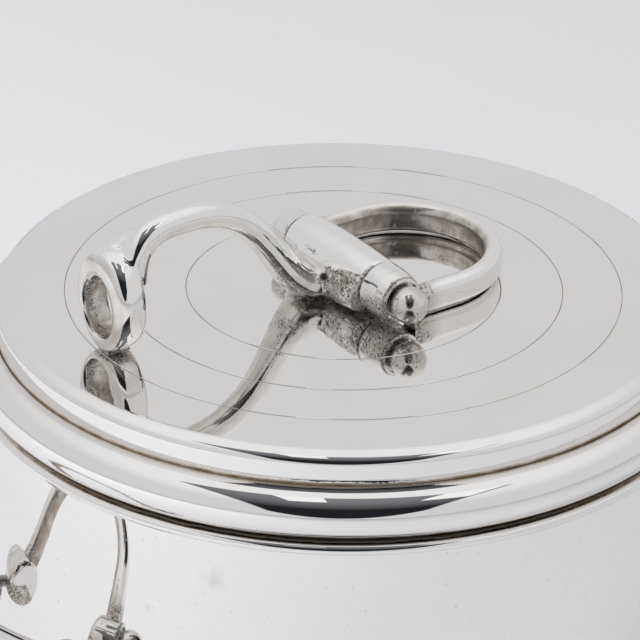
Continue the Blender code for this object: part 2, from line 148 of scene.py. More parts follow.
# %% [markdown]
# ## Mirror silver plate
#
# The lid, wall and mouldings are brass, spun and turned, then silver-plated and polished by hand. Such
# plate is a near mirror with a faintly warm white. Years of polish leave soft smears and hair-fine
# scratches, and brown tarnish stays wherever a cloth can't reach: beside a moulding and in a groove.
# Each piece carries a "tarnish" attribute that says where that is.

# %% Mirror silver plate
SILVER, SILVER_DULL = linear("f4f2f1"), linear("eceae8")
TARNISH, TARNISH_DARK = linear("b09b7e"), linear("4a3a2a")


def silver_plate(name, smear=0.03, spots=0.0):
    material, tree = new_material(name)
    place = add_node(tree, "ShaderNodeTexCoord").outputs["Object"]
    worn = add_node(tree, "ShaderNodeAttribute", attribute_name="tarnish").outputs["Fac"]
    # Smears of polish are some 40 mm across, stains 6 mm, and specks about 1 mm.
    cloud, stain, speck = [
        add_node(tree, "ShaderNodeTexNoise", {
            "Vector": place, "Scale": scale, "Detail": detail}).outputs["Fac"]
        for scale, detail in ((25.0, 4.0), (160.0, 5.0), (900.0, 3.0))]
    ragged = add_node(tree, "ShaderNodeMath", {0: stain, 1: 0.9}, operation="SUBTRACT").outputs[0]
    reach = add_node(tree, "ShaderNodeMath", {
        0: worn, 1: 1.75, 2: ragged}, operation="MULTIPLY_ADD").outputs[0]
    brown = add_node(tree, "ShaderNodeMapRange", {
        "Value": reach, 1: 0.0, 2: 0.9}, interpolation_type="SMOOTHSTEP").outputs[0]
    spot = add_node(tree, "ShaderNodeMapRange", {"Value": speck, 1: 0.70, 2: 0.76, 4: spots}).outputs[0]
    mask = add_node(tree, "ShaderNodeMath", {0: brown, 1: spot}, operation="MAXIMUM").outputs[0]
    plain = add_node(tree, "ShaderNodeMix", {
        0: cloud, 6: SILVER, 7: SILVER_DULL}, data_type="RGBA").outputs[2]
    depth = add_node(tree, "ShaderNodeMapRange", {"Value": reach, 1: 0.55, 2: 1.25}).outputs[0]
    dirt = add_node(tree, "ShaderNodeMix", {
        0: depth, 6: TARNISH, 7: TARNISH_DARK}, data_type="RGBA").outputs[2]
    colour = add_node(tree, "ShaderNodeMix", {0: mask, 6: plain, 7: dirt}, data_type="RGBA").outputs[2]
    polish = add_node(tree, "ShaderNodeMapRange", {
        "Value": cloud, 1: 0.35, 2: 0.7, 3: 0.015, 4: smear}).outputs[0]
    rough = add_node(tree, "ShaderNodeMix", {0: mask, 2: polish, 3: 0.42}, data_type="FLOAT").outputs[0]
    # Hand polishing leaves the sheet faintly wavy, over some 45 mm.
    wave = add_node(tree, "ShaderNodeTexNoise", {
        "Vector": place, "Scale": 22.0, "Detail": 1.0}).outputs["Fac"]
    wavy = add_node(tree, "ShaderNodeBump", {"Strength": 0.10, "Distance": 0.0012, "Height": wave}).outputs[0]
    pitted = add_node(tree, "ShaderNodeMath", {0: speck, 1: mask}, operation="MULTIPLY").outputs[0]
    bump = add_node(tree, "ShaderNodeBump", {
        "Strength": 0.35, "Distance": 0.0004, "Height": pitted, "Normal": wavy})
    # Tarnish is a crust, so it takes over from the metal only in part.
    metal = add_node(tree, "ShaderNodeMapRange", {"Value": mask, 3: 1.0, 4: 0.45}).outputs[0]
    shader = add_node(tree, "ShaderNodeBsdfPrincipled", {
        "Base Color": colour, "Roughness": rough, "Metallic": metal, "Normal": bump.outputs[0]})
    add_node(tree, "ShaderNodeOutputMaterial", {"Surface": shader.outputs[0]})
    return material


mirror_plate = silver_plate("silver_plate_mirror_polished")
wall_plate = silver_plate("silver_plate_spun_wall", smear=0.05, spots=0.35)
print("made", mirror_plate.name, wall_plate.name)

# %% [markdown]
# ## Cast silver plate
#
# The handles were cast, filed and polished on top, then plated. Underneath and in the corners the
# casting skin was left: pitted, grey and brown. A "skin" attribute says where, and noise breaks its edge
# into the ragged islands that filing leaves. The film mark is a thin brown veil, and "tarnish" is black
# dirt in a seam. At the casting's foot, skin and film are also painted contact shade. On the eye's face
# the film is also painted shade.

# %% Cast silver plate
# FILM_AND_SHADE is the veil's colour. At the casting's foot and on the eye's face it is painted shade.
CAST_SILVER, FILM_AND_SHADE = linear("f2f0ee"), linear("a89c90")
SKIN_LIGHT, SKIN_BROWN, SKIN_DARK = linear("e6e0d8"), linear("a0948a"), linear("443a32")


def cast_plate(name):
    material, tree = new_material(name)
    place = add_node(tree, "ShaderNodeTexCoord").outputs["Object"]
    skin, grime, film_and_shade_mark = [add_node(tree, "ShaderNodeAttribute", attribute_name=mark).outputs["Fac"]
                         for mark in ("skin", "tarnish", "film_and_shade")]
    # Patches of skin are some 3 mm across, its pits 0.7 mm.
    patch, pit = [
        add_node(tree, "ShaderNodeTexNoise", {
            "Vector": place, "Scale": scale, "Detail": detail, "Roughness": 0.65}).outputs["Fac"]
        for scale, detail in ((330.0, 5.0), (1500.0, 4.0))]
    ragged = add_node(tree, "ShaderNodeMath", {
        0: patch, 1: 2.2, 2: -1.6}, operation="MULTIPLY_ADD").outputs[0]
    reach = add_node(tree, "ShaderNodeMath", {
        0: skin, 1: 1.5, 2: ragged}, operation="MULTIPLY_ADD").outputs[0]
    # The skin thins out into single pits before it ends.
    pitted = add_node(tree, "ShaderNodeMath", {
        0: pit, 1: -2.4, 2: reach}, operation="MULTIPLY_ADD").outputs[0]
    left = add_node(tree, "ShaderNodeMapRange", {
        "Value": pitted, 1: -0.95, 2: -0.4}, interpolation_type="SMOOTHSTEP").outputs[0]
    grain = add_node(tree, "ShaderNodeMath", {0: patch, 1: 0.8, 2: pit}, operation="MULTIPLY_ADD").outputs[0]
    mottle = add_node(tree, "ShaderNodeMapRange", {"Value": grain, 1: 0.84, 2: 0.96}).outputs[0]
    light = add_node(tree, "ShaderNodeMix", {
        0: mottle, 6: SKIN_BROWN, 7: SKIN_LIGHT}, data_type="RGBA").outputs[2]
    hole = add_node(tree, "ShaderNodeMapRange", {"Value": pit, 1: 0.45, 2: 0.36}).outputs[0]
    dirt = add_node(tree, "ShaderNodeMath", {0: hole, 1: grime}, operation="MAXIMUM").outputs[0]
    rind = add_node(tree, "ShaderNodeMix", {0: dirt, 6: light, 7: SKIN_DARK}, data_type="RGBA").outputs[2]
    cover = add_node(tree, "ShaderNodeMath", {0: left, 1: grime}, operation="MAXIMUM").outputs[0]
    # A brown film, blotched over some 5 mm, dulls the silver that fingers seldom rub. At the casting's foot
    # and on the eye's face, the same mix is painted shade.
    blotch = add_node(tree, "ShaderNodeTexNoise", {
        "Vector": place, "Scale": 200.0, "Detail": 4.0}).outputs["Fac"]
    spread = add_node(tree, "ShaderNodeMapRange", {"Value": blotch, 1: 0.35, 2: 0.65, 3: 0.4}).outputs[0]
    film_and_shade_share = add_node(tree, "ShaderNodeMath", {0: film_and_shade_mark, 1: spread}, operation="MULTIPLY").outputs[0]
    plain = add_node(tree, "ShaderNodeMix", {0: film_and_shade_share, 6: CAST_SILVER, 7: FILM_AND_SHADE}, data_type="RGBA").outputs[2]
    polish = add_node(tree, "ShaderNodeMix", {0: film_and_shade_share, 2: 0.04, 3: 0.42}, data_type="FLOAT").outputs[0]
    colour = add_node(tree, "ShaderNodeMix", {0: cover, 6: plain, 7: rind}, data_type="RGBA").outputs[2]
    rough = add_node(tree, "ShaderNodeMix", {0: cover, 2: polish, 3: 0.22}, data_type="FLOAT").outputs[0]
    wave = add_node(tree, "ShaderNodeTexNoise", {
        "Vector": place, "Scale": 180.0, "Detail": 2.0}).outputs["Fac"]
    filed = add_node(tree, "ShaderNodeBump", {
        "Strength": 0.12, "Distance": 0.0008, "Height": wave}).outputs[0]
    pits = add_node(tree, "ShaderNodeMath", {0: pit, 1: left}, operation="MULTIPLY").outputs[0]
    bump = add_node(tree, "ShaderNodeBump", {
        "Strength": 0.8, "Distance": 0.0004, "Height": pits, "Normal": filed}).outputs[0]
    shader = add_node(tree, "ShaderNodeBsdfPrincipled", {
        "Base Color": colour, "Roughness": rough, "Metallic": 1.0, "Normal": bump})
    add_node(tree, "ShaderNodeOutputMaterial", {"Surface": shader.outputs[0]})
    return material


casting = cast_plate("silver_plate_on_casting")
print("made", casting.name)

# %% [markdown]
# ## Satin sheet, steel, cork and felt
#
# The ice cup and the lid's pan are satin-plated sheet, polished round and round. Screws and pin are turned
# steel. Cork keeps the cold in, and green felt under the base spares the table.

# %% Satin sheet, steel, cork and felt
def satin_plate(name, tone, shine):
    material, tree = new_material(name)
    place = add_node(tree, "ShaderNodeTexCoord").outputs["Object"]
    turned_lines = add_node(tree, "ShaderNodeMapping", {
        "Vector": place, "Scale": (1.0, 1.0, 40.0)}).outputs[0]
    # Polishing lines run round the sheet, some 0.4 mm apart in height.
    line = add_node(tree, "ShaderNodeTexNoise", {
        "Vector": turned_lines, "Scale": 60.0, "Detail": 3.0}).outputs["Fac"]
    cloud = add_node(tree, "ShaderNodeTexNoise", {
        "Vector": place, "Scale": 30.0, "Detail": 3.0}).outputs["Fac"]
    dull = [channel * 0.82 for channel in tone[:3]] + [1.0]
    colour = add_node(tree, "ShaderNodeMix", {0: cloud, 6: tone, 7: dull}, data_type="RGBA").outputs[2]
    rough = add_node(tree, "ShaderNodeMapRange", {
        "Value": line, 1: 0.3, 2: 0.7, 3: shine - 0.06, 4: shine + 0.08}).outputs[0]
    bump = add_node(tree, "ShaderNodeBump", {"Strength": 0.12, "Distance": 0.0003, "Height": line}).outputs[0]
    shader = add_node(tree, "ShaderNodeBsdfPrincipled", {
        "Base Color": colour, "Roughness": rough, "Metallic": 1.0, "Normal": bump})
    add_node(tree, "ShaderNodeOutputMaterial", {"Surface": shader.outputs[0]})
    return material


def soft_sheet(name, tone, dark, grain, strength):
    """Cork or felt: grain is the size of its crumbs or tufts, in metres."""
    material, tree = new_material(name)
    place = add_node(tree, "ShaderNodeTexCoord").outputs["Object"]
    crumb = add_node(tree, "ShaderNodeTexVoronoi", {"Vector": place, "Scale": 1 / grain}).outputs["Distance"]
    cloud = add_node(tree, "ShaderNodeTexNoise", {
        "Vector": place, "Scale": 0.4 / grain, "Detail": 5.0}).outputs["Fac"]
    both = add_node(tree, "ShaderNodeMath", {0: crumb, 1: cloud}, operation="MULTIPLY").outputs[0]
    mix = add_node(tree, "ShaderNodeMapRange", {"Value": both, 1: 0.1, 2: 0.45}).outputs[0]
    colour = add_node(tree, "ShaderNodeMix", {0: mix, 6: tone, 7: dark}, data_type="RGBA").outputs[2]
    bump = add_node(tree, "ShaderNodeBump", {
        "Strength": strength, "Distance": grain / 4, "Height": crumb}).outputs[0]
    shader = add_node(tree, "ShaderNodeBsdfPrincipled", {
        "Base Color": colour, "Roughness": 0.92, "Normal": bump})
    add_node(tree, "ShaderNodeOutputMaterial", {"Surface": shader.outputs[0]})
    return material


satin = satin_plate("silver_plate_satin_sheet", linear("f0eeea"), 0.34)
steel = satin_plate("steel_turned", linear("b4b4b6"), 0.34)
cork = soft_sheet("cork_sheet", linear("b98d5e"), linear("6d4a2b"), 1.6 * MM, 0.5)
felt = soft_sheet("felt_green", linear("2f4a3c"), linear("1b2c23"), 0.7 * MM, 0.8)
print("made", satin.name, steel.name, cork.name, felt.name)

# %% [markdown]
# ## Turning a profile
#
# Spun and turned pieces follow one rule: a profile goes round an axis. Curve to Mesh does that, with a
# tiny circle as the path and the profile as the section. The circle's points decide how fine the piece
# is; a mirror finish needs many.

# %% A tree that turns a profile
def new_tree(name, sockets):
    """An empty Geometry Nodes tree with these inputs, as (name, socket type, value)."""
    tree = bpy.data.node_groups.new(name, "GeometryNodeTree")
    tree.interface.new_socket("Geometry", in_out="INPUT", socket_type="NodeSocketGeometry")
    for label, kind, value in sockets:
        socket = tree.interface.new_socket(label, in_out="INPUT", socket_type=kind)
        if value is not None:
            socket.default_value = value
    tree.interface.new_socket("Geometry", in_out="OUTPUT", socket_type="NodeSocketGeometry")
    return tree, tree.nodes.new("NodeGroupInput").outputs


def close_tree(tree, mesh, material):
    """Every tree ends the same way: instances made real, and the finish put on."""
    smooth = add_node(tree, "GeometryNodeSetShadeSmooth", {"Geometry": mesh}).outputs[0]
    real = add_node(tree, "GeometryNodeRealizeInstances", {"Geometry": smooth}).outputs[0]
    done = add_node(tree, "GeometryNodeSetMaterial", {"Geometry": real, "Material": material}).outputs[0]
    add_node(tree, "NodeGroupOutput", {"Geometry": done})


turning, given = new_tree("turned_piece", [
    ("Sides", "NodeSocketInt", 192), ("Material", "NodeSocketMaterial", None)])
path = add_node(turning, "GeometryNodeCurvePrimitiveCircle", {"Resolution": given["Sides"], "Radius": 1e-6})
skin = add_node(turning, "GeometryNodeCurveToMesh", {
    "Curve": path.outputs[0], "Profile Curve": given["Geometry"]})
whole = add_node(turning, "GeometryNodeMergeByDistance", {"Geometry": skin.outputs[0], "Distance": 4e-6})
close_tree(turning, whole.outputs[0], given["Material"])
print("tree", turning.name, "has", len(turning.nodes), "nodes")


# %% [markdown]
# ### From a tree to a piece
#
# A tree runs once on a line, and its result is kept as a plain mesh on a new object, at the origin.

# %% Run a tree
def run_tree(name, source, tree, values):
    """Runs a tree on an object, and keeps the result as a plain mesh on a new object."""
    modifier = source.modifiers.new("tree", "NODES")
    modifier.node_group = tree
    for item in tree.interface.items_tree:
        if item.in_out == "INPUT" and item.name in values:
            modifier[item.identifier] = values[item.name]
    graph = bpy.context.evaluated_depsgraph_get()
    mesh = bpy.data.meshes.new_from_object(source.evaluated_get(graph), depsgraph=graph)
    bpy.data.objects.remove(source, do_unlink=True)
    mesh.name = name
    piece = bpy.data.objects.new(name, mesh)
    scene.collection.objects.link(piece)
    return piece


def line_object(points, closed):
    curve = bpy.data.curves.new("line", "CURVE")
    curve.dimensions = "3D"
    spline = curve.splines.new("POLY")
    spline.points.add(len(points) - 1)
    for knot, point in zip(spline.points, points):
        knot.co = (*point, 1.0)
    spline.use_cyclic_u = closed
    source = bpy.data.objects.new("line", curve)
    scene.collection.objects.link(source)
    return source


# %% [markdown]
# ### From a profile to a turned piece
#
# Work from a lathe has one closed skin, true flats and crisp corners. To give a mesh the same, doubled
# points are merged, faces look outwards, and long straight runs get a point near each end.

# %% Turn a profile
def points_of(piece):
    coordinates = np.zeros(len(piece.data.vertices) * 3)
    piece.data.vertices.foreach_get("co", coordinates)
    return coordinates.reshape(-1, 3)


def square_up(piece, sharp=30.0):
    """Faces outwards, one skin, and hard edges kept hard."""
    bm = bmesh.new()
    bm.from_mesh(piece.data)
    bmesh.ops.remove_doubles(bm, verts=bm.verts, dist=2e-6)
    bmesh.ops.recalc_face_normals(bm, faces=bm.faces)
    if bm.calc_volume(signed=True) < 0:
        bmesh.ops.reverse_faces(bm, faces=bm.faces)
    bm.to_mesh(piece.data)
    bm.free()
    piece.data.shade_smooth()
    piece.data.set_sharp_from_angle(angle=math.radians(sharp))


def hold_ends(profile, closed, reach=0.12 * MM):
    """Adds a point near each end of a long straight run, so that its shading stays flat."""
    held = []
    count = len(profile)
    for index in range(count if closed else count - 1):
        start, end = Vector(profile[index]), Vector(profile[(index + 1) % count])
        held.append(tuple(start))
        if (end - start).length > 6 * reach:
            step = (end - start).normalized() * reach
            held += [tuple(start + step), tuple(end - step)]
    if not closed:
        held.append(tuple(profile[-1]))
    return held


def arc(middle, radius, start, end, count=16):
    angles = np.radians(np.linspace(start, end, count + 1))
    return [(middle[0] + radius * math.cos(a), middle[1] + radius * math.sin(a)) for a in angles]


def turned(name, profile, material, sides=192, closed=True, matrix=None, sharp=30.0):
    """A piece turned about Z from a profile of (radius, height); matrix then lays it elsewhere."""
    # The section's Y comes out along -Z on a circle's path, hence the minus.
    points = [(radius, -height, 0.0) for radius, height in hold_ends(profile, closed)]
    piece = run_tree(name, line_object(points, closed), turning, {"Sides": sides, "Material": material})
    box = np.ptp(points_of(piece), axis=0)
    if matrix is not None:
        piece.data.transform(matrix)
    square_up(piece, sharp)
    size = [round(float(side) / MM, 1) for side in box]
    print(name, "turned,", len(piece.data.polygons), "faces,", size, "mm")
    return piece


# %% [markdown]
# ### Where dirt stays, and where shade is painted
#
# Tarnish, skin and film depend on a place's height, radius or side. Each is worked out per point and
# written onto the mesh as an attribute, which the material reads.

# %% Marks and bodies
def set_mark(piece, name, values):
    """Writes one number per point, for the material to read."""
    attribute = piece.data.attributes.new(name, "FLOAT", "POINT")
    attribute.data.foreach_set("value", np.clip(values, 0, 1).astype(np.float32))


def near(values, middle, spread):
    """1 at the middle, falling to 0 at the spread to either side."""
    return np.clip(1 - np.abs(values - middle) / spread, 0, 1)


def ramp(values, start, stop):
    """0 at start, 1 at stop, and even between; stop may lie below start."""
    return np.clip((values - start) / (stop - start), 0, 1)


def dress(piece, body, slot, *nodes):
    """The piece moves with a body and stands for these CAD nodes, which it hides. slot is not used."""
    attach(piece, body)
    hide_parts(*nodes)


# %% [markdown]
# ## Body
#
# The wall is a spun tube with a rolled bead at its lip and a half-round foot. A few brown stains lie on
# the wall, and dirt gathers under the bead and on top of it, where the lid's roll comes down.

# %% Wall, bead and foot
outside = [(WALL_RADIUS, level) for level in np.linspace(WALL_TOP, WALL_BOTTOM, 80)]
wall_line = [(WALL_INSIDE, WALL_TOP)] + outside + [(WALL_INSIDE, WALL_BOTTOM)]
wall = turned("wall", wall_line, wall_plate, sides=256)
where = points_of(wall)
# Stains: how far round from the camera's side in degrees, their level, size and strength.
STAINS = ((-18.5, 156, 7, 0.36), (-21.5, 149, 5, 0.33), (-29.5, 143, 3, 0.4), (-20, 151, 3, 0.38))
stains = np.zeros(len(where))
for turn_round, level, size, strength in STAINS:
    angle = math.radians(turn_round)
    outwards = to_camera * math.cos(angle) + right * math.sin(angle)
    spot = np.array(outwards * WALL_RADIUS) + (0, 0, level * MM)
    away = np.linalg.norm(where - spot, axis=1) / (size * MM)
    stains = np.maximum(stains, strength * np.clip(1.3 - away, 0, 1))
set_mark(wall, "tarnish", stains + 0.3 * near(where[:, 2], WALL_BOTTOM, 1.0 * MM))
dress(wall, "bucket", "polished_silver", "body_wall")

bead_middle = (WALL_RADIUS + 1.1 * MM, BEAD_TOP - BEAD_RADIUS)
bead_line = arc(bead_middle, BEAD_RADIUS, 90, -90) + [(WALL_INSIDE, WALL_TOP + SEAM), (WALL_INSIDE, BEAD_TOP)]
bead = turned("bead", bead_line, mirror_plate, sides=256)
where = points_of(bead)
under_roll = near(where[:, 2], BEAD_TOP, 0.15 * MM) * (np.hypot(where[:, 0], where[:, 1]) < WALL_RADIUS)
set_mark(bead, "tarnish", 0.8 * under_roll + 0.4 * near(where[:, 2], WALL_TOP + SEAM, 0.1 * MM))
dress(bead, "bucket", "polished_silver", "rim_bead")

FOOT_OUTSIDE, FOOT_INSIDE, FOOT_ROUND = 99.6 * MM, 86.6 * MM, 4.5 * MM
foot_top = 2 * FOOT_ROUND
foot_line = [(FOOT_INSIDE, foot_top)] + arc((FOOT_OUTSIDE - FOOT_ROUND, FOOT_ROUND), FOOT_ROUND, 90, -90, 20)
foot = turned("foot", foot_line + [(FOOT_INSIDE, 0.0)], mirror_plate, sides=256)
levels = points_of(foot)[:, 2]
set_mark(foot, "tarnish", 0.9 * near(levels, foot_top, 0.5 * MM) + 0.5 * near(levels, 0.0, 0.6 * MM))
dress(foot, "bucket", "polished_silver", "foot_ring")

# %% [markdown]
# ## Ice cup and base
#
# The cup is a satin-plated pan with a flange that lies on the cork and the wall. A plate closes the base,
# with felt glued under it.

# %% Ice cup and base
CUP_OUTSIDE, CUP_CORNER, CUP_SHEET = 86.7 * MM, 8.0 * MM, 1.5 * MM
LIP_MIDDLE, LIP_ROUND = 86.0 * MM, 0.8 * MM
FLANGE_EDGE, FLANGE_LEVEL = 94.9 * MM, BEAD_TOP - CUP_SHEET
CUP_FLOOR = 25.4 * MM
corner = (CUP_OUTSIDE - CUP_CORNER, CUP_FLOOR + CUP_CORNER)
cup_line = [(0.0, CUP_FLOOR)] + arc(corner, CUP_CORNER, -90, 0, 12) + [(CUP_OUTSIDE, FLANGE_LEVEL)]
cup_line += [(FLANGE_EDGE, FLANGE_LEVEL), (FLANGE_EDGE, BEAD_TOP), (LIP_MIDDLE, BEAD_TOP)]
cup_line += arc((LIP_MIDDLE, BEAD_TOP - LIP_ROUND), LIP_ROUND, 90, 180, 6)
cup_line += arc(corner, CUP_CORNER - CUP_SHEET, 0, -90, 12) + [(0.0, CUP_FLOOR + CUP_SHEET)]
cup = turned("ice_cup", cup_line, satin, sides=160, closed=False)
dress(cup, "bucket", "liner_silver", "inner_liner")
BASE_EDGE, BASE_TOP, BASE_BEVEL = 94.9 * MM, 10.8 * MM, 0.3 * MM
plate_line = [(0.0, BASE_TOP), (BASE_EDGE - BASE_BEVEL, BASE_TOP), (BASE_EDGE, BASE_TOP - BASE_BEVEL)]
plate_line += [(BASE_EDGE, WALL_BOTTOM), (0.0, WALL_BOTTOM)]
plate = turned("base", plate_line, satin, sides=128, closed=False)
dress(plate, "bucket", "liner_silver", "base_plate")
PAD_EDGE, PAD_TOP, PAD_BOTTOM = 86.0 * MM, 9.0 * MM, 7.0 * MM
pad_round = arc((PAD_EDGE - 0.4 * MM, (PAD_TOP + PAD_BOTTOM) / 2), 0.7 * MM, 60, -60, 6)
pad_line = [(0.0, PAD_TOP), (PAD_EDGE, PAD_TOP)] + pad_round
pad_line += [(PAD_EDGE - 1.0 * MM, PAD_BOTTOM), (0.0, PAD_BOTTOM)]
pad = turned("pad", pad_line, felt, sides=128, closed=False)
dress(pad, "bucket", "felt", "base_pad")

# %% [markdown]
# ## Lid
#
# The lid's disc is flat, with three circles cut into it on the lathe. Its edge falls away in a shallow
# crown, then turns down in a tight corner, and a heavy half-round roll runs round it. The circles are real
# grooves, because a mirror shows every painted line as flat. Tarnish sits in the grooves, behind the roll
# and under it.

# %% Lid disc and roll
EDGE_CROWN, EDGE_SLOPE, EDGE_CORNER = 4.0 * MM, 0.8 * MM, 2.4 * MM
EDGE_TURN = 60
CIRCLES = (73.5 * MM, 57.9 * MM, 41.5 * MM)
GROOVE_HALF, GROOVE_DEPTH = 0.22 * MM, 0.10 * MM


def lid_line():
    # The flat ends in a shallow crown, a short slope and a tight corner.
    across, rise = math.cos(math.radians(EDGE_TURN)), math.sin(math.radians(EDGE_TURN))
    corner_level = LID_TOP - EDGE_CROWN * (1 - rise) - EDGE_SLOPE * across - EDGE_CORNER * rise
    crown_middle = EDGE_RADIUS - EDGE_CORNER * (1 - across) - EDGE_SLOPE * rise - EDGE_CROWN * across
    inside = EDGE_RADIUS - LID_SHEET
    line = [(0.0, LID_TOP - LID_SHEET), (inside - 1.0 * MM, LID_TOP - LID_SHEET), (inside, corner_level)]
    line += [(inside, EDGE_BOTTOM)]
    line += [(EDGE_RADIUS, level) for level in np.linspace(EDGE_BOTTOM, corner_level - 0.4 * MM, 10)]
    line += arc((EDGE_RADIUS - EDGE_CORNER, corner_level), EDGE_CORNER, 0, EDGE_TURN, 16)
    line += arc((crown_middle, LID_TOP - EDGE_CROWN), EDGE_CROWN, EDGE_TURN, 90, 12)
    for radius in CIRCLES:
        line += [(radius + GROOVE_HALF, LID_TOP), (radius + GROOVE_HALF / 2, LID_TOP - 0.8 * GROOVE_DEPTH)]
        line += [(radius, LID_TOP - GROOVE_DEPTH)]
        line += [(radius - GROOVE_HALF / 2, LID_TOP - 0.8 * GROOVE_DEPTH), (radius - GROOVE_HALF, LID_TOP)]
    return line + [(0.0, LID_TOP)]


disc = turned("lid_disc", lid_line(), mirror_plate, sides=320, closed=False, sharp=20.0)
where = points_of(disc)
reach = np.hypot(where[:, 0], where[:, 1])
groove = sum(near(reach, radius, 0.20 * MM) for radius in CIRCLES) * (where[:, 2] > LID_TOP - 0.3 * MM)
roll_top = ROLL_LEVEL + ROLL_RADIUS
behind = ramp(where[:, 2], roll_top + 1.6 * MM, roll_top + 0.4 * MM) * (reach > EDGE_RADIUS - 0.1 * MM)
set_mark(disc, "tarnish", groove + 0.62 * behind)
dress(disc, "lid", "polished_silver", "lid_top")

shoulder = math.degrees(math.acos((SEAM - 1.3 * MM) / ROLL_RADIUS))
roll_line = arc((ROLL_MIDDLE, ROLL_LEVEL), ROLL_RADIUS, shoulder, -90, 40)
roll_line += arc((ROLL_MIDDLE, ROLL_LEVEL), ROLL_RADIUS - LID_SHEET, -90, 90, 16)
roll = turned("lid_roll", roll_line, mirror_plate, sides=320)
where = points_of(roll)
reach = np.hypot(where[:, 0], where[:, 1])
inner_edge = near(reach, EDGE_RADIUS, 1.6 * MM) * (where[:, 2] > ROLL_LEVEL)
low = ROLL_LEVEL - 0.93 * ROLL_RADIUS
set_mark(roll, "tarnish", 0.75 * inner_edge + 0.75 * ramp(where[:, 2], low, low - 0.5 * MM))
dress(roll, "lid", "polished_silver", "lid_rim")

PAN_BOTTOM, PAN_FLANGE, PAN_EDGE, PAN_ROUND = 160.5 * MM, 170.5 * MM, 93.1 * MM, 1.5 * MM
plug, inner = LINER_INSIDE - 1.0 * MM, LINER_INSIDE - 1.0 * MM - LID_SHEET
pan_line = [(0.0, PAN_BOTTOM)] + arc((plug - PAN_ROUND, PAN_BOTTOM + PAN_ROUND), PAN_ROUND, -90, 0, 6)
pan_line += [(plug, PAN_FLANGE), (PAN_EDGE, PAN_FLANGE), (PAN_EDGE, PAN_FLANGE + LID_SHEET)]
pan_line += [(inner, PAN_FLANGE + LID_SHEET), (inner, PAN_BOTTOM + LID_SHEET), (0.0, PAN_BOTTOM + LID_SHEET)]
pan = turned("lid_pan_sheet", pan_line, satin, sides=160, closed=False)
dress(pan, "lid", "liner_silver", "lid_pan")

# %% [markdown]
# ## The half bit: sleeve, arm and eye
#
# On the real lid these are one casting: a sleeve along the barrel, an arm that springs from its front and
# arches over, and an eye the arm runs down into. Each is made as a bar that overlaps its neighbours.

# %% Bars of the casting
def bit(reach, across, height):
    """A place on the lid from the barrel's middle: along the arm, along the barrel, and above the lid."""
    return Vector((BIT_X - reach, BIT_Y - across, LID_TOP + height))


def bezier(corners, count):
    weights = [((1 - u) ** 3, 3 * u * (1 - u) ** 2, 3 * u * u * (1 - u), u ** 3)
               for u in np.linspace(0, 1, count)]
    return [sum((Vector(corner) * w for corner, w in zip(corners, weight)), Vector()) for weight in weights]


def add_bar(bm, centres, sideways, wides, highs, closed=False, sides=32, square=2.0):
    """A bar through centres. wides lie along sideways, highs across it; square above 2 flattens its faces."""
    rings = []
    for index, centre in enumerate(centres):
        before = centres[index - 1] if index or closed else centre
        after = centres[(index + 1) % len(centres)] if closed or index + 1 < len(centres) else centre
        other = sideways.cross((after - before).normalized())
        ring = []
        for angle in np.linspace(0, 2 * math.pi, sides, endpoint=False):
            c, s = math.cos(angle), math.sin(angle)
            flat = (abs(c) ** square + abs(s) ** square) ** (-1 / square)
            place = centre + sideways * (wides[index] * c * flat) + other * (highs[index] * s * flat)
            ring.append(bm.verts.new(place))
        rings.append(ring)
    pairs = list(zip(rings, rings[1:])) + ([(rings[-1], rings[0])] if closed else [])
    for low, high in pairs:
        for side in range(sides):
            after = (side + 1) % sides
            bm.faces.new((low[side], low[after], high[after], high[side]))
    if not closed:
        bm.faces.new(rings[0])
        bm.faces.new(rings[-1])


casting_mesh = bmesh.new()
along = np.linspace(-SLEEVE_HALF, SLEEVE_HALF, 41)
barrel = SLEEVE_RADIUS - (SLEEVE_RADIUS - BARREL_RADIUS) * np.abs(along / SLEEVE_HALF) ** 2.5
add_bar(casting_mesh, [bit(0, b, AXIS_HEIGHT) for b in along], Vector((1, 0, 0)), barrel, barrel, sides=64)
# A low swelling along the sleeve's front carries the arm's root.
SWELL_REACH, SWELL_RADIUS = 4.4 * MM, 5.2 * MM
belly = (along > -12 * MM) & (along < 16.6 * MM)
bulge = SWELL_RADIUS - 1.0 * MM * np.abs((along[belly] - 2 * MM) / (14.6 * MM)) ** 3
swell_line = [bit(SWELL_REACH, b, SWELL_RADIUS + 0.4 * MM) for b in along[belly]]
add_bar(casting_mesh, swell_line, Vector((1, 0, 0)), bulge, bulge, sides=64)

root = (4.8 * MM, -ARM_SHIFT, 4.4 * MM)
crown = (47.5 * MM, -ARM_SHIFT, 32.4 * MM)
end = (64.6 * MM, -1.2 * MM, 19.0 * MM)
rise = bezier((root, (20.2 * MM, -ARM_SHIFT, 1.2 * MM), (19.5 * MM, -ARM_SHIFT, 32.4 * MM), crown), 48)
fall = bezier((crown, (56.0 * MM, -ARM_SHIFT, 32.4 * MM), (64.0 * MM, -2.2 * MM, 32.4 * MM), end), 36)
arm_line = [bit(*point) for point in rise + fall[1:]]
share = np.linspace(0, 1, len(arm_line))
thick = (3.0 + 0.8 * share) * MM
flare = 6.5 * MM * (1 - share) ** 5
deep = thick + 2.6 * MM * (1 - share) ** 4
clear = np.array([point.z for point in arm_line]) - LID_TOP - 0.5 * MM
add_bar(casting_mesh, arm_line, Vector((0, 1, 0)), thick + flare, np.minimum(deep, clear), square=2.2)

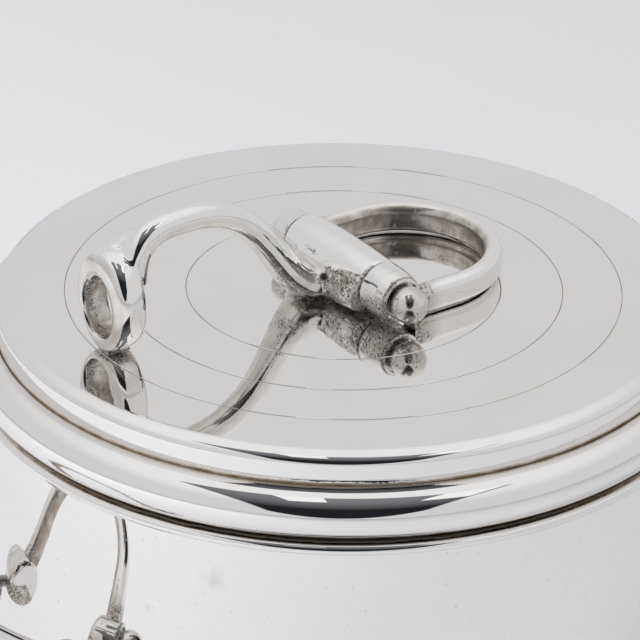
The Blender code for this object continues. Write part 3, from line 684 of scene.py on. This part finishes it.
# The eye is a thick oval with a hole nearer its far side: its bar joins the two outlines.
EYE_REACH, EYE_HALF_THICK = 67.8 * MM, 4.5 * MM
EYE_MIDDLE, EYE_HALF = np.array((-5.0, 14.1)) * MM, np.array((10.9, 13.9)) * MM
HOLE_MIDDLE, HOLE_HALF = np.array((-7.4, 11.6)) * MM, np.array((6.2, 7.8)) * MM
turns = np.linspace(0, 2 * math.pi, 120, endpoint=False)
rounds = np.column_stack([np.sin(turns), np.cos(turns)])
outer, inner = EYE_MIDDLE + EYE_HALF * rounds, HOLE_MIDDLE + HOLE_HALF * rounds
eye_line = [bit(EYE_REACH, *place) for place in (outer + inner) / 2]
bar_half = np.linalg.norm(outer - inner, axis=1) / 2
eye_thick = [EYE_HALF_THICK] * len(turns)
add_bar(casting_mesh, eye_line, Vector((1, 0, 0)), eye_thick, bar_half, closed=True, square=2.3)
# The arm runs into the eye's shoulder in one slope.
slope = bezier(((55.5 * MM, -3.2 * MM, 31.2 * MM), (61.0 * MM, -4.6 * MM, 30.5 * MM),
                (66.0 * MM, -7.6 * MM, 27.5 * MM), (68.0 * MM, -11.6 * MM, 20.6 * MM)), 24)
slope_half = np.linspace(2.6, 3.4, 24) * MM
add_bar(casting_mesh, [bit(*point) for point in slope], Vector((0, 1, 0)), slope_half, slope_half)
print("bars of the casting,", len(casting_mesh.faces), "faces")

# %% [markdown]
# ### Fusing the bars
#
# A voxel remesh fuses the bars, and rounds of smoothing soften the joins, as fettling does. Joining them
# with booleans would leave hard creases that a mirror finish shows. Only the pin's bore is cut with one,
# like the drill hole it is.

# %% Fuse the casting
bmesh.ops.recalc_face_normals(casting_mesh, faces=casting_mesh.faces)
rough_mesh = bpy.data.meshes.new("half_bit")
casting_mesh.to_mesh(rough_mesh)
casting_mesh.free()
source = bpy.data.objects.new("half_bit_source", rough_mesh)
scene.collection.objects.link(source)
fuse = source.modifiers.new("fuse", "REMESH")
fuse.mode = "VOXEL"
fuse.voxel_size = 0.36 * MM
soften = source.modifiers.new("soften", "SMOOTH")
soften.factor = 0.5
soften.iterations = 44
# The ring's pin turns in a bore right through the sleeve, drilled past both of its ends.
BORE_RADIUS, DRILL_SPARE = 2.9 * MM, 3.0 * MM
drill_mesh = bpy.data.meshes.new("drill")
drill_shape = bmesh.new()
along_sleeve = Matrix.Translation(bit(0, 0, AXIS_HEIGHT)) @ Matrix.Rotation(math.radians(90), 4, "X")
bmesh.ops.create_cone(drill_shape, cap_ends=True, segments=64, radius1=BORE_RADIUS, radius2=BORE_RADIUS,
                      depth=2 * (SLEEVE_HALF + DRILL_SPARE), matrix=along_sleeve)
drill_shape.to_mesh(drill_mesh)
drill_shape.free()
drill = bpy.data.objects.new("drill", drill_mesh)
scene.collection.objects.link(drill)
cut = source.modifiers.new("bore", "BOOLEAN")
cut.operation, cut.solver, cut.object = "DIFFERENCE", "EXACT", drill
graph = bpy.context.evaluated_depsgraph_get()
fused_mesh = bpy.data.meshes.new_from_object(source.evaluated_get(graph), depsgraph=graph)
half_bit = bpy.data.objects.new("half_bit", fused_mesh)
scene.collection.objects.link(half_bit)
bpy.data.objects.remove(source, do_unlink=True)
bpy.data.objects.remove(drill, do_unlink=True)
half_bit.data.materials.clear()
half_bit.data.materials.append(casting)
half_bit.data.shade_smooth()
print("half bit,", len(half_bit.data.polygons), "faces")

# %% [markdown]
# ### Where the casting skin shows
#
# The skin is left where a file can't reach: the sleeve's lower front, under the arm's root, beside the
# barrel's seam, and in the eye's bore. A film dulls the silver under the arm. Skin and film also darken
# the casting's foot, as painted contact shade where it meets the lid, and the film on the eye's face is
# partly painted shade. A small round flaw from casting sits beside the arm's root.

# %% Mark the skin
def beside_line(where, point, direction):
    """How far each place is from a line through the point, and how far along it."""
    offset = where - np.array(point)
    along = offset @ np.array(direction)
    return np.linalg.norm(offset - np.outer(along, direction), axis=1), along


where = points_of(half_bit)
reach, across, height = BIT_X - where[:, 0], BIT_Y - where[:, 1], where[:, 2] - LID_TOP
facing = np.empty(3 * len(where))
half_bit.data.vertices.foreach_get("normal", facing)
facing_up = facing[2::3]
# Round the sleeve, 0 degrees faces the arm's side and 90 degrees faces up.
around = np.degrees(np.arctan2(height - AXIS_HEIGHT, reach))
on_sleeve = ramp(reach, 13.5 * MM, 9.5 * MM)
skin_edge = 32 + 8 * ramp(across, 6 * MM, 12 * MM)
low_front = ramp(around, skin_edge, skin_edge - 16) * ramp(across, 1.6 * MM, 4.6 * MM) * on_sleeve
low_front_skin = 0.85 - 0.3 * ramp(around, 8, -12)
under = ramp(around, -25, -45) * on_sleeve
rim_seam = ramp(across, 14.5 * MM, 16.7 * MM) * ramp(around, 75, 45) * on_sleeve
from_fleck = np.hypot((across + 4.1 * MM) / (3.4 * MM), (around - 29) / 8)
fleck = np.clip(1.4 - from_fleck, 0, 1) * on_sleeve
on_arm = (reach > 6 * MM) * (reach < 58 * MM) * (height > 4 * MM)
below_arm = ramp(facing_up, 0.05, -0.25) * on_arm
near_root = ramp(reach, 30 * MM, 16 * MM)
root_film = (height < 10 * MM) * (reach < 30 * MM)
# The casting's foot, near the lid: partly casting skin, partly painted contact shade.
sole_skin_and_contact_shade = ramp(height, 3.0 * MM, 1.0 * MM)
print("the sleeve's skin covers", int((low_front > 0.5).sum()), "of", len(where), "points")

# %% [markdown]
# The eye's hole is an oval, so a point's place in it is measured in shares of the oval's half sizes: below
# 1 it lies inside.

# %% Marks on the eye, and all of them together
hole = ((across - HOLE_MIDDLE[0]) / HOLE_HALF[0]) ** 2 + ((height - HOLE_MIDDLE[1]) / HOLE_HALF[1]) ** 2
face = EYE_REACH + EYE_HALF_THICK
bore = ramp(hole, 1.18, 0.98) * (reach > 60 * MM) * ramp(reach, face - 0.5 * MM, face - 1.1 * MM)
mouth = bore * ramp(reach, face - 6.0 * MM, face - 3.0 * MM)
# The eye's face: a film, partly painted shade that dims its reflection.
eye_face_film_and_shade = ramp(reach, face - 1.6 * MM, face - 0.6 * MM)
set_mark(half_bit, "skin", np.maximum.reduce([
    low_front_skin * low_front, 0.5 * under, 0.56 * near_root * below_arm, 0.75 * rim_seam, 0.7 * fleck,
    0.62 * mouth, 0.3 * bore, 0.6 * sole_skin_and_contact_shade]))
# The film mark also carries painted shade at the casting's foot and on the eye's face.
set_mark(half_bit, "film_and_shade", np.maximum.reduce([
    bore, 0.45 * under, 0.8 * sole_skin_and_contact_shade, 0.4 * root_film, 0.5 * eye_face_film_and_shade, 0.38 * below_arm]))
FLAW_RADIUS = 1.35 * MM
flaw, depth = beside_line(where, bit(7.6 * MM, 2.6 * MM, 6.8 * MM), back)
pit = ramp(flaw, FLAW_RADIUS, FLAW_RADIUS - 0.5 * MM) * (depth > -2 * MM)
ends = ramp(np.abs(across), SLEEVE_HALF - 0.35 * MM, SLEEVE_HALF - 0.05 * MM) * on_sleeve
set_mark(half_bit, "tarnish", np.maximum(pit, 0.9 * ends))
dress(half_bit, "lid", "cast_silver", "lid_bit_arm")
print("half bit marked with", [mark.name for mark in half_bit.data.attributes if mark.data_type == "FLOAT"])

# %% [markdown]
# ## Collars, cap and balls
#
# At the barrel's front end a collar carries one leg of the ring, closed by a ball. At its rear end a plain
# cap does both. They are turned pieces, laid along the barrel.

# %% Barrel ends
def barrel_matrix(x, y, z, forward):
    """Lays a turned piece along Y; forward is -1 where its far end points to -Y."""
    return Matrix.Translation((x, y, z)) @ Matrix.Rotation(-forward * math.radians(90), 4, "X")


BALL_RADIUS, BALL_REACH = 4.9 * MM, 3.0 * MM


def collar_line(start, stop, bore):
    line = [(bore, start)] + arc((6.6 * MM, start + 0.4 * MM), 0.4 * MM, -90, 0, 5)
    line += [(6.95 * MM, start + 3.0 * MM), (6.7 * MM, start + 6.0 * MM), (6.3 * MM, stop - 1.2 * MM)]
    line += arc((5.5 * MM, stop - 0.6 * MM), 0.6 * MM, 20, 90, 6)
    return line + [(5.1 * MM, stop), (4.9 * MM, stop - 0.8 * MM), (bore, stop - 0.8 * MM)]


def ball_line(start):
    middle = start + BALL_REACH
    low = math.degrees(math.asin((SEAM - BALL_REACH) / BALL_RADIUS))
    round_part = arc((0.0, middle), BALL_RADIUS, low, 90, 24)[:-1]
    return [(0.0, start + SEAM)] + round_part + [(0.0, middle + BALL_RADIUS)]


def mark_barrel_piece(piece, x, z, side, skin_share, seams, film_and_shade_mark=0.15):
    """Skin on the lower half and on one side of it: side is 1 where that is +X, -1 where it is -X."""
    where = points_of(piece)
    turn_up = np.degrees(np.arctan2(where[:, 2] - z, side * (where[:, 0] - x)))
    low = ramp(np.where(turn_up < -120, turn_up + 360, turn_up), 28, -2)
    beside_seam = sum(near(where[:, 1], seam, 1.6 * MM) for seam in seams)
    set_mark(piece, "skin", np.maximum(skin_share * low, 0.62 * beside_seam))
    set_mark(piece, "film_and_shade", np.maximum(0.5 * low, film_and_shade_mark))
    dirt = np.zeros(len(where))
    for seam in seams:
        dirt = np.maximum(dirt, near(where[:, 1], seam, 0.5 * MM))
    set_mark(piece, "tarnish", 0.85 * dirt)


COLLAR_START, COLLAR_END = 17.5 * MM, 27.0 * MM
axis_z = LID_TOP + AXIS_HEIGHT
front = barrel_matrix(BIT_X, BIT_Y, axis_z, -1)
rear = barrel_matrix(BIT_X, BIT_Y, axis_z, 1)
collar = turned("lid_collar", collar_line(COLLAR_START, COLLAR_END, BORE_RADIUS), casting, sides=96,
                matrix=front)
mark_barrel_piece(collar, BIT_X, axis_z, -1, 0.6, (BIT_Y - COLLAR_START, BIT_Y - COLLAR_END + 0.5 * MM))
dress(collar, "cheek_ring", "cast_silver", "lid_front_collar")
ball = turned("lid_ball", ball_line(COLLAR_END), casting, sides=96, closed=False, matrix=front)
mark_barrel_piece(ball, BIT_X, axis_z, -1, 0.45, (BIT_Y - COLLAR_END - 0.4 * MM,), film_and_shade_mark=0.5)
dress(ball, "cheek_ring", "cast_silver", "lid_front_ball")
PIN_HOLE_END, CAP_END, CAP_ROUND = 24.5 * MM, 26.0 * MM, 3.4 * MM
cap_line = [(0.0, PIN_HOLE_END), (BORE_RADIUS, PIN_HOLE_END), (BORE_RADIUS, COLLAR_START)]
cap_line += arc((5.9 * MM, COLLAR_START + 0.4 * MM), 0.4 * MM, -90, 0, 5) + [(6.1 * MM, 20.5 * MM)]
cap_line += arc((2.6 * MM, CAP_END - CAP_ROUND), CAP_ROUND, 10, 90, 14) + [(0.0, CAP_END)]
cap = turned("lid_cap", cap_line, casting, sides=96, closed=False, matrix=rear)
mark_barrel_piece(cap, BIT_X, axis_z, -1, 0.5, (BIT_Y + COLLAR_START,))
dress(cap, "cheek_ring", "cast_silver", "lid_rear_cap")

# %% [markdown]
# ## Cheek rings
#
# Each ring is a D of rounded bar: two straight legs and a half circle. A bar along a path is what Curve to
# Mesh is for; its section is a rectangle with filleted corners.

# %% A tree for a bar along a path
bending, given = new_tree("bar_along_path", [
    ("Width", "NodeSocketFloat", 0.005), ("Height", "NodeSocketFloat", 0.008),
    ("Round", "NodeSocketFloat", 0.002), ("Material", "NodeSocketMaterial", None)])
section = add_node(bending, "GeometryNodeCurvePrimitiveQuadrilateral", {
    "Width": given["Width"], "Height": given["Height"]})
fillet = add_node(bending, "GeometryNodeFilletCurve", {
    "Curve": section.outputs[0], "Radius": given["Round"], "Count": 10}, mode="POLY")
bar = add_node(bending, "GeometryNodeCurveToMesh", {
    "Curve": given["Geometry"], "Profile Curve": fillet.outputs[0], "Fill Caps": True})
close_tree(bending, bar.outputs[0], given["Material"])
print("tree", bending.name, "has", len(bending.nodes), "nodes")

# %% [markdown]
# A ring's outside is polished bright by hands and cloths. Its inside keeps a brown film, and its legs are
# rough where they meet the barrel.

# %% The rings
BAR_WIDTH, BAR_HEIGHT, BAR_ROUND = 5.3 * MM, 8.0 * MM, 2.5 * MM
LEG_INSIDE = 5.2 * MM


def cheek_ring(name, matrix):
    """A ring lying flat, its barrel on Y and its round end towards +X, then laid where it belongs."""
    line = [(x, -RING_HALF_WIDTH, 0) for x in np.linspace(LEG_INSIDE, RING_LEG, 12, endpoint=False)]
    line += [(RING_LEG + RING_HALF_WIDTH * math.cos(a), RING_HALF_WIDTH * math.sin(a), 0)
             for a in np.linspace(-math.pi / 2, math.pi / 2, 97)]
    line += [(x, RING_HALF_WIDTH, 0) for x in np.linspace(RING_LEG, LEG_INSIDE, 13)[1:]]
    sizes = {"Width": BAR_WIDTH, "Height": BAR_HEIGHT, "Round": BAR_ROUND, "Material": casting}
    piece = run_tree(name, line_object(line, False), bending, sizes)
    square_up(piece, 50.0)
    where = points_of(piece)
    high = np.ptp(where[:, 2])
    print(name, "is", round(high * 1000, 2), "mm thick,", len(piece.data.polygons), "faces")
    round_end = np.hypot(np.maximum(where[:, 0] - RING_LEG, 0), where[:, 1])
    inner = ramp(round_end, RING_HALF_WIDTH - 0.7 * MM, RING_HALF_WIDTH - 1.9 * MM)
    leg_root = ramp(where[:, 0], 14.0 * MM, 8.0 * MM)
    bottom = ramp(where[:, 2], -BAR_HEIGHT / 2 + 0.4 * MM, -BAR_HEIGHT / 2)
    set_mark(piece, "skin", np.maximum(0.3 * inner, 0.66 * leg_root))
    set_mark(piece, "film_and_shade", np.maximum(inner, 0.6 * leg_root))
    set_mark(piece, "tarnish", 0.5 * bottom)
    piece.data.transform(matrix)
    return piece


ring_level = LID_TOP + 0.4 * MM + BAR_HEIGHT / 2
lid_ring = cheek_ring("lid_ring", Matrix.Translation((BIT_X, BIT_Y, ring_level)))
dress(lid_ring, "cheek_ring", "polished_silver", "lid_bit_ring")

# %% [markdown]
# ## Side handles
#
# The same ring, fixed between two bosses, stands out from the wall on each side. The photograph shows only
# a corner of one; its place comes from its reflection in the wall.

# %% Side handles
BOSS_X, BOSS_Z = 101.98 * MM, 121.2 * MM
BOSS_START, BOSS_END = 18.65 * MM, 28.15 * MM
RING_TILT = math.radians(37.0)


def boss_line():
    line = [(0.0, BOSS_START)] + arc((5.0 * MM, BOSS_START + 2.0 * MM), 2.0 * MM, -90, 0, 8)
    line += [(6.8 * MM, BOSS_START + 5.0 * MM), (6.3 * MM, BOSS_END - 1.2 * MM)]
    line += arc((5.5 * MM, BOSS_END - 0.6 * MM), 0.6 * MM, 20, 90, 6)
    return line + [(5.1 * MM, BOSS_END), (4.9 * MM, BOSS_END - 0.6 * MM), (0.0, BOSS_END - 0.6 * MM)]


for prefix, side in (("right", 1), ("left", -1)):
    turn_side = Matrix.Rotation(0 if side > 0 else math.pi, 4, "Z")
    tilt = Matrix.Translation((BOSS_X, 0, BOSS_Z)) @ Matrix.Rotation(-RING_TILT, 4, "Y")
    handle = cheek_ring(prefix + "_ring", turn_side @ tilt)
    dress(handle, "bucket", "polished_silver", prefix + "_handle_ring")
    for end_name, sign in (("front", 1), ("rear", -1)):
        lay = barrel_matrix(side * BOSS_X, 0, BOSS_Z, side * sign)
        label = prefix + "_" + end_name
        boss = turned(label + "_stud", boss_line(), casting, sides=80, closed=False, matrix=lay)
        mark_barrel_piece(boss, side * BOSS_X, BOSS_Z, -side, 0.8, (side * sign * (BOSS_END - 0.45 * MM),))
        dress(boss, "bucket", "cast_silver", label + "_boss")
        knob = turned(label + "_knob", ball_line(BOSS_END), casting, sides=80, closed=False, matrix=lay)
        mark_barrel_piece(knob, side * BOSS_X, BOSS_Z, -side, 0.5, (side * sign * (BOSS_END + 0.35 * MM),))
        dress(knob, "bucket", "cast_silver", label + "_ball")

# %% [markdown]
# ## Hidden pieces
#
# Cork, screws and pin keep their CAD shapes, since they are seen only with the lid off or not at all. They
# get the finishes made above.

# %% Finishes of the hidden pieces
finishes = {name: cork for name in ("insulation_disc", "insulation_sleeve", "lid_insulation")}
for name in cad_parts:
    if name.endswith("_screw") or name == "lid_bit_pin":
        finishes[name] = steel
for name, finish in finishes.items():
    for material_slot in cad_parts[name].material_slots:
        material_slot.material = finish
print("hidden pieces finished:", len(finishes))

# %% [markdown]
# ## Studio
#
# Polished silver shows the room it stands in. The room here is a pale studio with a pale table, wide enough
# to fill the picture.

# %% Table
table_material, tree = new_material("table_pale_laminate")
place = add_node(tree, "ShaderNodeTexCoord").outputs["Object"]
cloud = add_node(tree, "ShaderNodeTexNoise", {"Vector": place, "Scale": 3.0, "Detail": 2.0}).outputs["Fac"]
tone = add_node(tree, "ShaderNodeMix", {
    0: cloud, 6: linear("e1e2e4"), 7: linear("e7e8ea")}, data_type="RGBA").outputs[2]
shader = add_node(tree, "ShaderNodeBsdfPrincipled", {"Base Color": tone, "Roughness": 0.6})
add_node(tree, "ShaderNodeOutputMaterial", {"Surface": shader.outputs[0]})
bm = bmesh.new()
bmesh.ops.create_grid(bm, x_segments=8, y_segments=8, size=6.0)
table_mesh = bpy.data.meshes.new("table")
bm.to_mesh(table_mesh)
bm.free()
table_mesh.materials.append(table_material)
table = bpy.data.objects.new("table", table_mesh)
scene.collection.objects.link(table)
print("table of", table_material.name)

# %% [markdown]
# ### Room
#
# Pale walls, a bright ceiling, and a dark gap between two screens in front, which the lid's roll shows as a
# dark crescent. Real screens would stand in other views, so the world paints them by direction alone.

# %% Room
world = bpy.data.worlds.new("studio")
scene.world = world
world.use_nodes = True
tree = world.node_tree
tree.nodes.clear()
looking = add_node(tree, "ShaderNodeTexCoord").outputs["Generated"]
apart = add_node(tree, "ShaderNodeSeparateXYZ", {0: looking}).outputs
toward, sideways = [
    add_node(tree, "ShaderNodeVectorMath", {
        0: looking, 1: tuple(side)}, operation="DOT_PRODUCT").outputs["Value"]
    for side in (to_camera, right)]
ceiling = add_node(tree, "ShaderNodeMapRange", {
    "Value": apart["Z"], 1: 0.5, 2: 0.9}, interpolation_type="SMOOTHSTEP").outputs[0]
room = add_node(tree, "ShaderNodeMix", {
    0: ceiling, 6: linear("dadadb"), 7: linear("f2f2f2")}, data_type="RGBA").outputs[2]
# The gap between the two white screens in front, dark up to overhead and wider higher up.
GAP_MIDDLE, GAP_HALF, GAP_SPREAD, GAP_SOFT = 0.02, 0.325, 0.16, 0.025
from_middle = add_node(tree, "ShaderNodeMath", {0: sideways, 1: GAP_MIDDLE}, operation="SUBTRACT").outputs[0]
off_middle = add_node(tree, "ShaderNodeMath", {0: from_middle}, operation="ABSOLUTE").outputs[0]
width = add_node(tree, "ShaderNodeMath", {
    0: apart["Z"], 1: -GAP_SPREAD, 2: off_middle}, operation="MULTIPLY_ADD").outputs[0]
between = add_node(tree, "ShaderNodeMapRange", {
    "Value": width, 1: GAP_HALF, 2: GAP_HALF - GAP_SOFT}).outputs[0]
in_front = add_node(tree, "ShaderNodeMapRange", {"Value": toward, 1: 0.0, 2: 0.03}).outputs[0]
# Its lower end is round: a low cloth hangs between the screens, deeper towards them.
CLOTH_SAG = 2.4
square = add_node(tree, "ShaderNodeMath", {0: sideways, 1: sideways}, operation="MULTIPLY").outputs[0]
cloth = add_node(tree, "ShaderNodeMath", {
    0: square, 1: -CLOTH_SAG, 2: apart["Z"]}, operation="MULTIPLY_ADD").outputs[0]
above_cloth = add_node(tree, "ShaderNodeMapRange", {"Value": cloth, 1: 0.0, 2: 0.04}).outputs[0]
open_part = add_node(tree, "ShaderNodeMath", {0: between, 1: above_cloth}, operation="MULTIPLY").outputs[0]
gap = add_node(tree, "ShaderNodeMath", {0: open_part, 1: in_front}, operation="MULTIPLY").outputs[0]
# Two lit panels of the ceiling reach into the gap. Each has a middle and half its width.
PANELS, PANEL_REACH, PANEL_SOFT = ((-0.105, 0.065), (0.36, 0.09)), 0.36, 0.02
overhead = add_node(tree, "ShaderNodeMapRange", {
    "Value": toward, 1: PANEL_REACH, 2: PANEL_REACH - PANEL_SOFT}).outputs[0]
left_panel, right_panel = [
    add_node(tree, "ShaderNodeMath", {0: sideways, 1: middle, 2: half}, operation="COMPARE").outputs[0]
    for middle, half in PANELS]
panels = add_node(tree, "ShaderNodeMath", {0: left_panel, 1: right_panel}, operation="MAXIMUM").outputs[0]
lit = add_node(tree, "ShaderNodeMath", {0: panels, 1: overhead}, operation="MULTIPLY").outputs[0]
high = add_node(tree, "ShaderNodeMapRange", {"Value": apart["Z"], 1: 0.6, 2: 1.0}).outputs[0]
dusk = add_node(tree, "ShaderNodeMix", {
    0: high, 6: linear("222428"), 7: linear("84868a")}, data_type="RGBA").outputs[2]
dark = add_node(tree, "ShaderNodeMix", {0: lit, 6: dusk, 7: linear("ffffff")}, data_type="RGBA").outputs[2]
seen = add_node(tree, "ShaderNodeMix", {0: gap, 6: room, 7: dark}, data_type="RGBA").outputs[2]
show = add_node(tree, "ShaderNodeBackground", {"Color": seen, "Strength": 1.0})
add_node(tree, "ShaderNodeOutputWorld", {"Surface": show.outputs[0]})
print("studio painted with", len(tree.nodes), "nodes")

# %% [markdown]
# ### Lamp
#
# A large soft lamp at the left gives the table its pale shadow. The painted panels stand for it in the
# mirror, so the lamp itself isn't reflected.

# %% Lamp
lamp_data = bpy.data.lights.new("soft_lamp", "AREA")
lamp_data.shape = "RECTANGLE"
lamp_data.size, lamp_data.size_y = 1.3, 1.0
lamp_data.energy = 19.0
lamp = bpy.data.objects.new("soft_lamp", lamp_data)
lamp.location = to_camera * 0.5 - right * 1.0 + Vector((0, 0, 1.4))
lamp.rotation_euler = (to_camera * 0.1 - right * 0.35 - lamp.location).to_track_quat("-Z", "Y").to_euler()
lamp.visible_glossy = False
scene.collection.objects.link(lamp)
print("lamp of", lamp_data.energy, "W at", [round(value, 2) for value in lamp.location])
